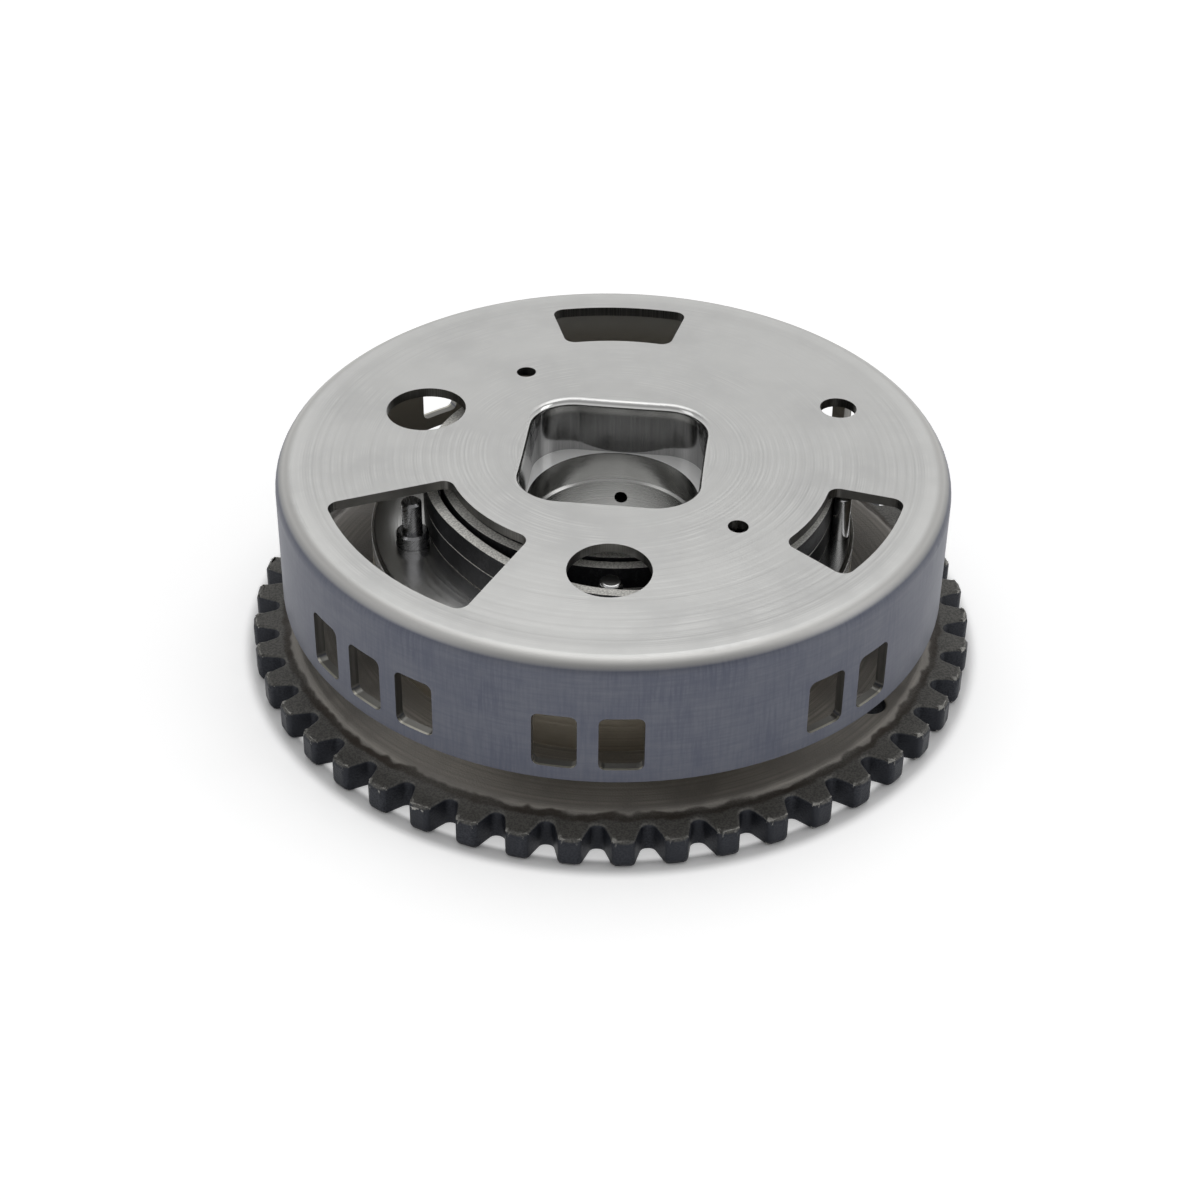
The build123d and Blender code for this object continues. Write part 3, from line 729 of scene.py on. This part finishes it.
sprocket_finish, tree, shader = new_finish("sprocket_finish")
spot = piece_place(tree)
upper = fade(tree, spot["upward"], 0.35, 0.8)
waves = add_node(
    tree, "ShaderNodeTexNoise", Vector=spot["position"], Scale=waves_per_metre, Detail=2.0
)
wavy_radius = calculate(tree, "MULTIPLY_ADD", waves.outputs["Fac"], border_waves, spot["radius"])
border = land_radius + border_waves / 2
on_web = opposite(tree, fade(tree, wavy_radius, border - 0.4 * MM, border + 0.2 * MM))
# A wavy band along the web's edge that takes the painted shade.
step_shade_band = both(
    tree,
    fade(tree, wavy_radius, border - 0.4 * MM, border + 0.1 * MM),
    opposite(tree, fade(tree, wavy_radius, border + 0.7 * MM, border + 1.4 * MM)),
)
sand = use_group(tree, stains, Per_Metre=3400.0, Detail=2.0, Softness=0.12)
clouds = use_group(tree, stains, Per_Metre=140.0)
rings = use_group(tree, turning_marks, Spacing=0.5 * MM)
wear = use_group(tree, worn_edges, Width=0.35 * MM, Breakup=1100.0)
tooth_zone = fade(tree, spot["radius"], land_radius + 1.5 * MM, tip_radius - 1.2 * MM)
side = layer(tree, both(tree, clouds, sand), oxide_blue, oxide_light)
top = layer(tree, sand, tooth_sand, tooth_sand_light)
web = layer(tree, both(tree, clouds, rings), web_brown, web_beige)
top = layer(tree, on_web, top, web)
# Painted shade in the step between the web and the teeth.
top = layer(tree, both(tree, step_shade_band, level(tree, clouds, 0.5, 1.0)), top, step_shade_dark)
colour = layer(tree, upper, side, top)
colour = layer(tree, both(tree, wear, level(tree, tooth_zone, 0.15, 0.9)), colour, bare_steel)
feed(tree, shader["Base Color"], colour)
shader["Metallic"].default_value = 0.55
feed(tree, shader["Roughness"], level(tree, clouds, 0.42, 0.58))
add_relief(tree, shader, sand, 0.03 * MM, 0.6)
dress(sprocket_finish, "sprocket")

# %% [markdown]
# ## Housing, cover and rotor
#
# The housing's wall is turned and has a warm, oily tone. The front cover is ground and polished,
# and mirrors the posts that stand on it. The rotor is sintered too, but all that shows of it is
# the bore, which is turned bright. All three are bare metal, so they share one recipe with
# different values.


# %% Turned and polished metal
edge_lightness = 1.35


def turned_metal(name, bright, dull, roughness, ring_spacing, ring_depth, edge_wear=0.7):
    """Bare metal with rings, cloudy patches and lighter edges."""
    material, tree, shader = new_finish(name)
    rings = use_group(tree, turning_marks, Spacing=ring_spacing)
    clouds = use_group(tree, stains, Per_Metre=90.0)
    wear = use_group(tree, worn_edges, Width=0.15 * MM, Breakup=700.0, Amount=edge_wear)
    tone = layer(tree, both(tree, clouds, level(tree, rings, 0.5, 1.0)), bright, dull)
    light_edge = tuple(min(1.0, edge_lightness * part) for part in bright)
    feed(tree, shader["Base Color"], layer(tree, wear, tone, light_edge))
    shader["Metallic"].default_value = 1.0
    feed(tree, shader["Roughness"], level(tree, rings, *roughness))
    add_relief(tree, shader, rings, ring_depth)
    return material


housing_finish = turned_metal(
    "housing_finish",
    bright=(0.58, 0.53, 0.44),
    dull=(0.38, 0.335, 0.265),
    roughness=(0.28, 0.40),
    ring_spacing=0.5 * MM,
    ring_depth=0.001 * MM,
)
dress(housing_finish, "stator_housing")
cover_finish = turned_metal(
    "cover_finish",
    bright=(0.86, 0.86, 0.85),
    dull=(0.76, 0.76, 0.75),
    roughness=(0.18, 0.27),
    ring_spacing=0.3 * MM,
    ring_depth=0.0003 * MM,
)
dress(cover_finish, "front_cover")
rotor_finish = turned_metal(
    "rotor_finish",
    bright=(0.52, 0.52, 0.51),
    dull=(0.42, 0.42, 0.41),
    roughness=(0.2, 0.3),
    ring_spacing=0.25 * MM,
    ring_depth=0.001 * MM,
)
dress(rotor_finish, "rotor")

# %% [markdown]
# ## Posts, screws and ground pins
#
# The posts and the lock pin's cap are polished, the screws are blackened a little by their heat
# treatment, and the bush, the lock pin and the dowels are ground. They differ only in tone and
# gloss, so they take the recipe above with other values. Polishing leaves neither rings nor worn
# edges that can be seen, which is why the posts have no ring depth and no edge wear.

# %% Small bare metal pieces
post_finish = turned_metal(
    "post_finish",
    bright=(0.60, 0.60, 0.60),
    dull=(0.50, 0.50, 0.50),
    roughness=(0.14, 0.2),
    ring_spacing=20 * MM,
    ring_depth=0.0,
    edge_wear=0.0,
)
dress(post_finish, "guide_post", "anchor_post", "lock_pin_cap")
screw_finish = turned_metal(
    "screw_finish",
    bright=(0.34, 0.34, 0.35),
    dull=(0.26, 0.26, 0.27),
    roughness=(0.2, 0.34),
    ring_spacing=0.4 * MM,
    ring_depth=0.001 * MM,
)
dress(screw_finish, "cover_screw_1", "cover_screw_2", "cover_screw_3", "post_screw")
ground_finish = turned_metal(
    "ground_finish",
    bright=(0.50, 0.50, 0.51),
    dull=(0.42, 0.42, 0.43),
    roughness=(0.18, 0.3),
    ring_spacing=0.3 * MM,
    ring_depth=0.001 * MM,
)
dress(ground_finish, "lock_bush", "lock_pin", "locating_dowel_1", "locating_dowel_2")

# %% [markdown]
# ## Spring strip
#
# The bias spring is a tempered strip, rolled dark on its wide faces and slit on its narrow ones.
# The slit edges are what the camera sees from above: coarse and matt, and light partly from the
# bare slit metal and partly from painted light. A fine bright line between the two stacked strips
# comes from the worn-edge colour, partly wear and partly a painted highlight.

# %% Spring strip
strip_dark = (0.030, 0.031, 0.034)
strip_grey = (0.060, 0.061, 0.066)
# The light slit tones are partly bare metal and partly painted light, raised to make up for the dim
# light inside the cup.
slit_pale_and_painted_light = (0.86, 0.85, 0.80)
slit_grain_and_painted_light = (0.58, 0.57, 0.54)

strip_finish, tree, shader = new_finish("strip_finish")
spot = piece_place(tree)
slit = fade(tree, calculate(tree, "ABSOLUTE", spot["upward"]), *facing)
grain = use_group(tree, stains, Per_Metre=3200.0, Detail=2.0, Softness=0.12)
smears = use_group(tree, streaks, Round=30.0, Along=500.0)
wear = use_group(tree, worn_edges, Width=0.16 * MM, Breakup=500.0)
wide_face = layer(tree, both(tree, smears, grain), strip_dark, strip_grey)
# Narrow faces are lighter, partly bare slit metal and partly painted light.
narrow_face_with_painted_light = layer(tree, grain, slit_grain_and_painted_light, slit_pale_and_painted_light)
colour = layer(tree, slit, wide_face, narrow_face_with_painted_light)
# Worn edges; on the line between the stacked strips this is partly wear and partly a painted
# highlight.
feed(tree, shader["Base Color"], layer(tree, wear, colour, bare_steel))
feed(tree, shader["Metallic"], level(tree, slit, 0.5, 0.1))
feed(tree, shader["Roughness"], level(tree, slit, 0.38, 0.7))
add_relief(tree, shader, grain, 0.02 * MM, 0.5)
dress(strip_finish, "bias_spring_rear", "bias_spring_front", "lock_pin_spring")

# %% [markdown]
# ## Leaf springs and tip seals
#
# Four brown polymer bars seal the vane tips, and a thin bright leaf behind each pushes it
# outwards. Both are hidden in the closed part, but they are real pieces and are seen once it is
# taken apart. The polymer is moulded, so it is matt and slightly blotchy, with its edges rubbed
# paler by the housing.

# %% Leaf springs and tip seals
leaf_finish = turned_metal(
    "leaf_finish",
    bright=(0.55, 0.55, 0.56),
    dull=(0.45, 0.45, 0.46),
    roughness=(0.25, 0.36),
    ring_spacing=0.2 * MM,
    ring_depth=0.001 * MM,
)
vane_numbers = range(1, 5)
dress(leaf_finish, *[f"seal_spring_{number}" for number in vane_numbers])

seal_brown = (0.15, 0.12, 0.09)
seal_rubbed = (0.20, 0.17, 0.13)
seal_finish, tree, shader = new_finish("seal_finish")
clouds = use_group(tree, stains, Per_Metre=900.0)
wear = use_group(tree, worn_edges, Width=0.12 * MM, Breakup=1500.0)
feed(tree, shader["Base Color"], layer(tree, both(tree, wear, clouds), seal_brown, seal_rubbed))
feed(tree, shader["Roughness"], level(tree, clouds, 0.5, 0.65))
add_relief(tree, shader, clouds, 0.005 * MM, 0.4)
dress(seal_finish, *[f"vane_seal_{number}" for number in vane_numbers])

# %% [markdown]
# ## Studio
#
# Bare metal looks like what it mirrors, so the studio matters as much as the finish. The floor is
# pale and wide, and gives a little light of its own to the camera and to mirrors, which takes it
# to white and leaves a soft shadow under the part. Right under the teeth's tips a narrow ring has
# no such light, which paints a dark contact shadow where the part stands on the floor.

# %% A floor that keeps the shadow
floor_radius = 1.4
floor_albedo = 0.88
floor_glow = 0.40
floor_segments = 96
contact_shadow_width = 1.2 * MM
floor_material = bpy.data.materials.new("studio_floor")
floor_material.use_nodes = True
tree = floor_material.node_tree
tree.nodes.clear()
rays = tree.nodes.new("ShaderNodeLightPath").outputs
seen = calculate(tree, "MAXIMUM", rays["Is Camera Ray"], rays["Is Glossy Ray"])
seen = calculate(tree, "MAXIMUM", seen, rays["Is Transmission Ray"])
pale = add_node(tree, "ShaderNodeBsdfDiffuse", Color=(floor_albedo, floor_albedo, floor_albedo, 1))
from_axis = piece_place(tree)["radius"]
# Painted contact shadow: a narrow ring under the teeth's tips gets no glow.
contact_shadow_ring = both(
    tree,
    fade(tree, from_axis, tip_radius - 2 * contact_shadow_width, tip_radius - contact_shadow_width),
    opposite(tree, fade(tree, from_axis, tip_radius, tip_radius + 2 * contact_shadow_width)),
)
glow_strength = both(tree, seen, level(tree, contact_shadow_ring, floor_glow, 0.0))
glow = add_node(tree, "ShaderNodeEmission", Strength=glow_strength)
lit = tree.nodes.new("ShaderNodeAddShader")
feed(tree, lit.inputs[0], pale.outputs[0])
feed(tree, lit.inputs[1], glow.outputs[0])
add_node(tree, "ShaderNodeOutputMaterial", Surface=lit.outputs[0])

bm = bmesh.new()
bmesh.ops.create_circle(bm, cap_ends=True, radius=floor_radius, segments=floor_segments)
mesh = bpy.data.meshes.new("studio_floor")
bm.to_mesh(mesh)
bm.free()
mesh.materials.append(floor_material)
floor = bpy.data.objects.new("studio_floor", mesh)
scene.collection.objects.link(floor)
print("floor", 2 * floor_radius, "m across")

# %% [markdown]
# ## Room and lamps
#
# The room is a ramp of greys by height, which a mirror shows as soft bands. White at the horizon
# draws the light line on the rim, the grey above it keeps the turned face from clipping, and the
# ceiling is a little lighter again. One large soft box hangs overhead and two smaller ones stand
# beside. They add the direction, and their level is set so that a surface renders about as light
# as its colour is written.

# %% The room
room_bands = (
    (0.0, 1.0),
    (0.04, 1.0),
    (0.14, 0.80),
    (0.4, 0.72),
    (0.55, 0.60),
    (0.67, 0.44),
    (0.8, 0.40),
    (1.0, 0.55),
)
world = bpy.data.worlds.new("studio")
scene.world = world
world.use_nodes = True
tree = world.node_tree
direction = tree.nodes.new("ShaderNodeTexCoord")
parts = add_node(tree, "ShaderNodeSeparateXYZ", Vector=direction.outputs["Generated"])
bands = add_node(tree, "ShaderNodeValToRGB", Fac=parts.outputs["Z"])
while len(bands.color_ramp.elements) < len(room_bands):
    bands.color_ramp.elements.new(1.0)
for element, (height, grey) in zip(bands.color_ramp.elements, room_bands):
    element.position = height
    element.color = (grey, grey, grey, 1)
feed(tree, tree.nodes["Background"].inputs["Color"], bands.outputs["Color"])
scene.view_settings.view_transform = "Standard"
print("room with", len(room_bands), "bands")


# %% Soft boxes
def soft_box(name, place, size, power):
    """A rectangular area lamp that points at the part."""
    lamp = bpy.data.lights.new(name, "AREA")
    lamp.shape = "RECTANGLE"
    lamp.size, lamp.size_y = size
    lamp.energy = power
    holder = bpy.data.objects.new(name, lamp)
    holder.location = place
    holder.rotation_euler = (aim - Vector(place)).to_track_quat("-Z", "Y").to_euler()
    scene.collection.objects.link(holder)
    return name


boxes = [
    soft_box("overhead_box", (0.05, 0.25, 0.75), (0.7, 0.5), 1.4),
    soft_box("left_box", (-0.6, -0.25, 0.45), (0.35, 0.5), 0.35),
    soft_box("right_box", (0.6, -0.1, 0.4), (0.3, 0.4), 0.5),
]
print("soft boxes", boxes)
